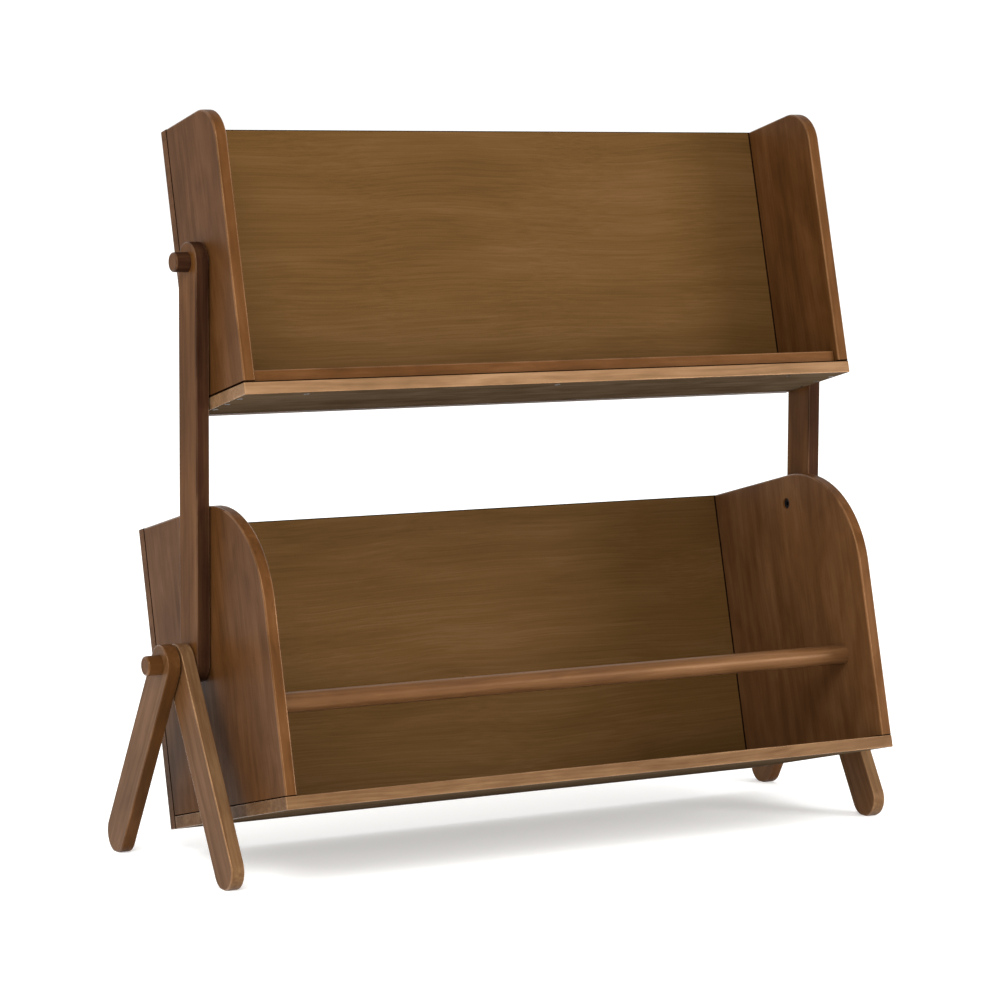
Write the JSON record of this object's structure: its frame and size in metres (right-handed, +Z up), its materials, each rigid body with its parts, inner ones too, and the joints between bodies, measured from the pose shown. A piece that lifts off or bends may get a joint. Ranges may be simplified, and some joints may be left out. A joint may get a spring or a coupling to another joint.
{
  "type": "two-tier book rack",
  "caption": "Two-tier wooden rack: open trays lean back between two posts, the upper one tilting on pegs, the lower one bolted, above A-frame legs that fold.",
  "frame": {"origin": "on the floor, under the middle of the rack's bounding box", "axes": "+X to the right seen from the front, along the boards; -Y to the front, where the books face; +Z up"},
  "size_m": [1.06, 0.4218, 0.9447],
  "materials": {
    "walnut_board": "satin walnut-stained board, grain along the board",
    "walnut_bar": "satin walnut-stained solid bar with softened edges",
    "walnut_dowel": "satin walnut-stained round dowel",
    "veneer_board": "satin veneer with a horizontal cathedral grain",
    "steel": "zinc-plated",
    "black_nylon": "matte"
  },
  "bodies": {
    "frame": {"left_post": "walnut_bar", "right_post": "walnut_bar", "lower_back_board": "veneer_board", "lower_bottom_board": "walnut_board", "lower_left_end": "walnut_board", "lower_right_end": "walnut_board", "lower_round_rail": "walnut_dowel", "left_lower_peg": "walnut_dowel", "right_lower_peg": "walnut_dowel", "post_pins": "steel", "tray_bolts": "steel", "post_inserts": "steel", "tray_spacers": "black_nylon", "leg_washers": "black_nylon", "lower_tray_screws": "steel"},
    "upper_tray": {"upper_back_board": "veneer_board", "upper_bottom_board": "walnut_board", "upper_left_end": "walnut_board", "upper_right_end": "walnut_board", "upper_lip_rail": "walnut_board", "left_upper_peg": "walnut_dowel", "right_upper_peg": "walnut_dowel", "tilt_washers": "black_nylon", "upper_tray_screws": "steel", "lip_screws": "steel"},
    "left_front_leg": {"left_front_leg": "walnut_bar", "left_front_leg_pin": "steel"},
    "left_rear_leg": {"left_rear_leg": "walnut_bar", "left_rear_leg_pin": "steel"},
    "right_front_leg": {"right_front_leg": "walnut_bar", "right_front_leg_pin": "steel"},
    "right_rear_leg": {"right_rear_leg": "walnut_bar", "right_rear_leg_pin": "steel"}
  },
  "joints": [
    {"name": "upper_tray_tilt", "type": "hinge", "parent": "frame", "child": "upper_tray", "pos_m": [0, 0.01989, 0.75783], "axis": [1, 0, 0], "range_deg": [-15.5, 14.5]},
    {"name": "left_front_leg_fold", "type": "hinge", "parent": "frame", "child": "left_front_leg", "pos_m": [0, 0.01989, 0.25983], "axis": [1, 0, 0], "range_deg": [0, 30]},
    {"name": "left_rear_leg_fold", "type": "hinge", "parent": "frame", "child": "left_rear_leg", "pos_m": [0, 0.01989, 0.25983], "axis": [-1, 0, 0], "range_deg": [0, 30]},
    {"name": "right_front_leg_fold", "type": "hinge", "parent": "frame", "child": "right_front_leg", "pos_m": [0, 0.01989, 0.25983], "axis": [1, 0, 0], "range_deg": [0, 30]},
    {"name": "right_rear_leg_fold", "type": "hinge", "parent": "frame", "child": "right_rear_leg", "pos_m": [0, 0.01989, 0.25983], "axis": [-1, 0, 0], "range_deg": [0, 30]}
  ]
}
